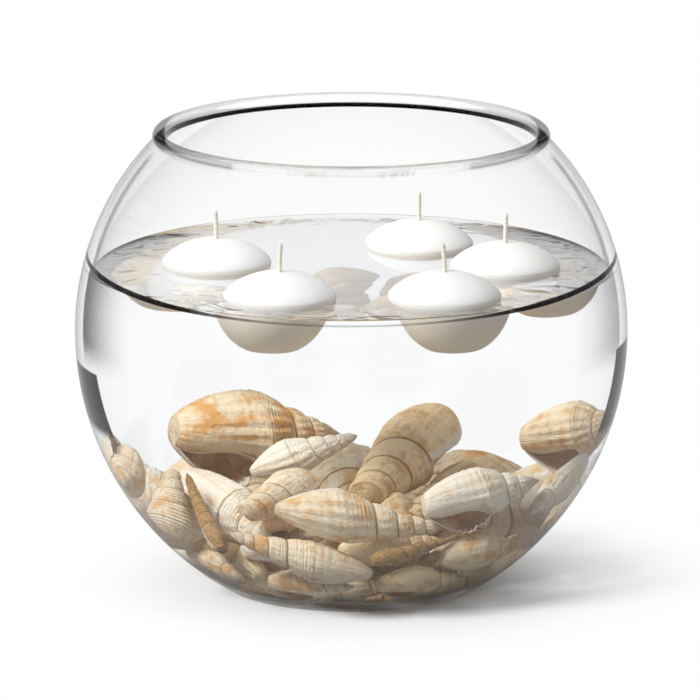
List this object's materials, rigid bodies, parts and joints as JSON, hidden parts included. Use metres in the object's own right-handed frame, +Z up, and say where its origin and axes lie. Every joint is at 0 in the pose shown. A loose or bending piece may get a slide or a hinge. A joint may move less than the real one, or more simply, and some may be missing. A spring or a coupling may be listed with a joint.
{
  "type": "floating candle bowl",
  "caption": "Round clear glass bowl, part filled with water, with white disc candles floating over a bed of sea snail shells.",
  "frame": {"origin": "centre of the underside of the bowl's foot, on the table", "axes": "+Z up out of the mouth; the picture looks along +Y, with +X to its right"},
  "size_m": [0.225, 0.225, 0.1891],
  "materials": {
    "clear_glass": "clear polished",
    "water": "clear liquid",
    "wax": "satin candle wax",
    "cotton_wick": "waxed braided cotton",
    "tin_tab": "tinned sheet",
    "shell_white": "bleached chalky shell",
    "shell_tan": "tan banded shell",
    "shell_brown": "brown ringed shell"
  },
  "bodies": {
    "bowl": {"glass_bowl": "clear_glass", "water": "water", "shell_back_whelk": "shell_tan", "shell_left_broken": "shell_white", "shell_left_turban": "shell_white", "shell_dark_auger": "shell_brown", "shell_white_holed": "shell_white", "shell_small_spire": "shell_white", "shell_tan_bullet": "shell_tan", "shell_small_mouth": "shell_white", "shell_banded_turret": "shell_tan", "shell_second_turret": "shell_tan", "shell_right_ridged": "shell_white", "shell_right_whelk": "shell_tan", "shell_right_white": "shell_white", "shell_open_white": "shell_white", "shell_front_spindle": "shell_white", "shell_lower_spindle": "shell_white", "shell_front_auger": "shell_brown", "shell_low_left": "shell_white", "shell_low_right": "shell_white", "shell_low_middle": "shell_white", "shell_low_corner": "shell_white", "shell_under_left": "shell_white", "shell_under_right": "shell_white", "shell_low_front": "shell_white", "shell_low_edge": "shell_white", "bed_floor_1": "shell_white", "bed_floor_2": "shell_tan", "bed_floor_3": "shell_white", "bed_floor_4": "shell_white", "bed_floor_5": "shell_tan", "bed_floor_6": "shell_white", "bed_floor_7": "shell_white", "bed_front_1": "shell_white", "bed_front_2": "shell_tan", "bed_front_3": "shell_white", "bed_middle_1": "shell_white", "bed_middle_2": "shell_tan", "bed_middle_3": "shell_white", "bed_middle_4": "shell_white", "bed_middle_5": "shell_tan", "bed_core_1": "shell_white", "bed_core_2": "shell_tan", "bed_core_3": "shell_white"},
    "candle_front_left": {"candle_front_left": "wax", "wick_front_left": "cotton_wick", "wick_tab_front_left": "tin_tab"},
    "candle_front_right": {"candle_front_right": "wax", "wick_front_right": "cotton_wick", "wick_tab_front_right": "tin_tab"},
    "candle_back_left": {"candle_back_left": "wax", "wick_back_left": "cotton_wick", "wick_tab_back_left": "tin_tab"},
    "candle_back_right": {"candle_back_right": "wax", "wick_back_right": "cotton_wick", "wick_tab_back_right": "tin_tab"},
    "candle_right": {"candle_right": "wax", "wick_right": "cotton_wick", "wick_tab_right": "tin_tab"}
  },
  "joints": [
    {"name": "front_left_lift_out", "type": "slide", "parent": "bowl", "child": "candle_front_left", "axis": [0.0417, 0.298, 0.9536], "range_m": [0, 0.0839], "deforming": ["water"]},
    {"name": "front_right_lift_out", "type": "slide", "parent": "bowl", "child": "candle_front_right", "axis": [-0.1642, 0.3049, 0.9381], "range_m": [0, 0.0853], "deforming": ["water"]},
    {"name": "back_left_lift_out", "type": "slide", "parent": "bowl", "child": "candle_back_left", "axis": [0.1479, 0.074, 0.9862], "range_m": [0, 0.0811], "deforming": ["water"]},
    {"name": "back_right_lift_out", "type": "slide", "parent": "bowl", "child": "candle_back_right", "axis": [-0.2873, 0, 0.9578], "range_m": [0, 0.0835], "deforming": ["water"]},
    {"name": "right_lift_out", "type": "slide", "parent": "bowl", "child": "candle_right", "axis": [-0.2737, 0.1369, 0.952], "range_m": [0, 0.084], "deforming": ["water"]}
  ]
}
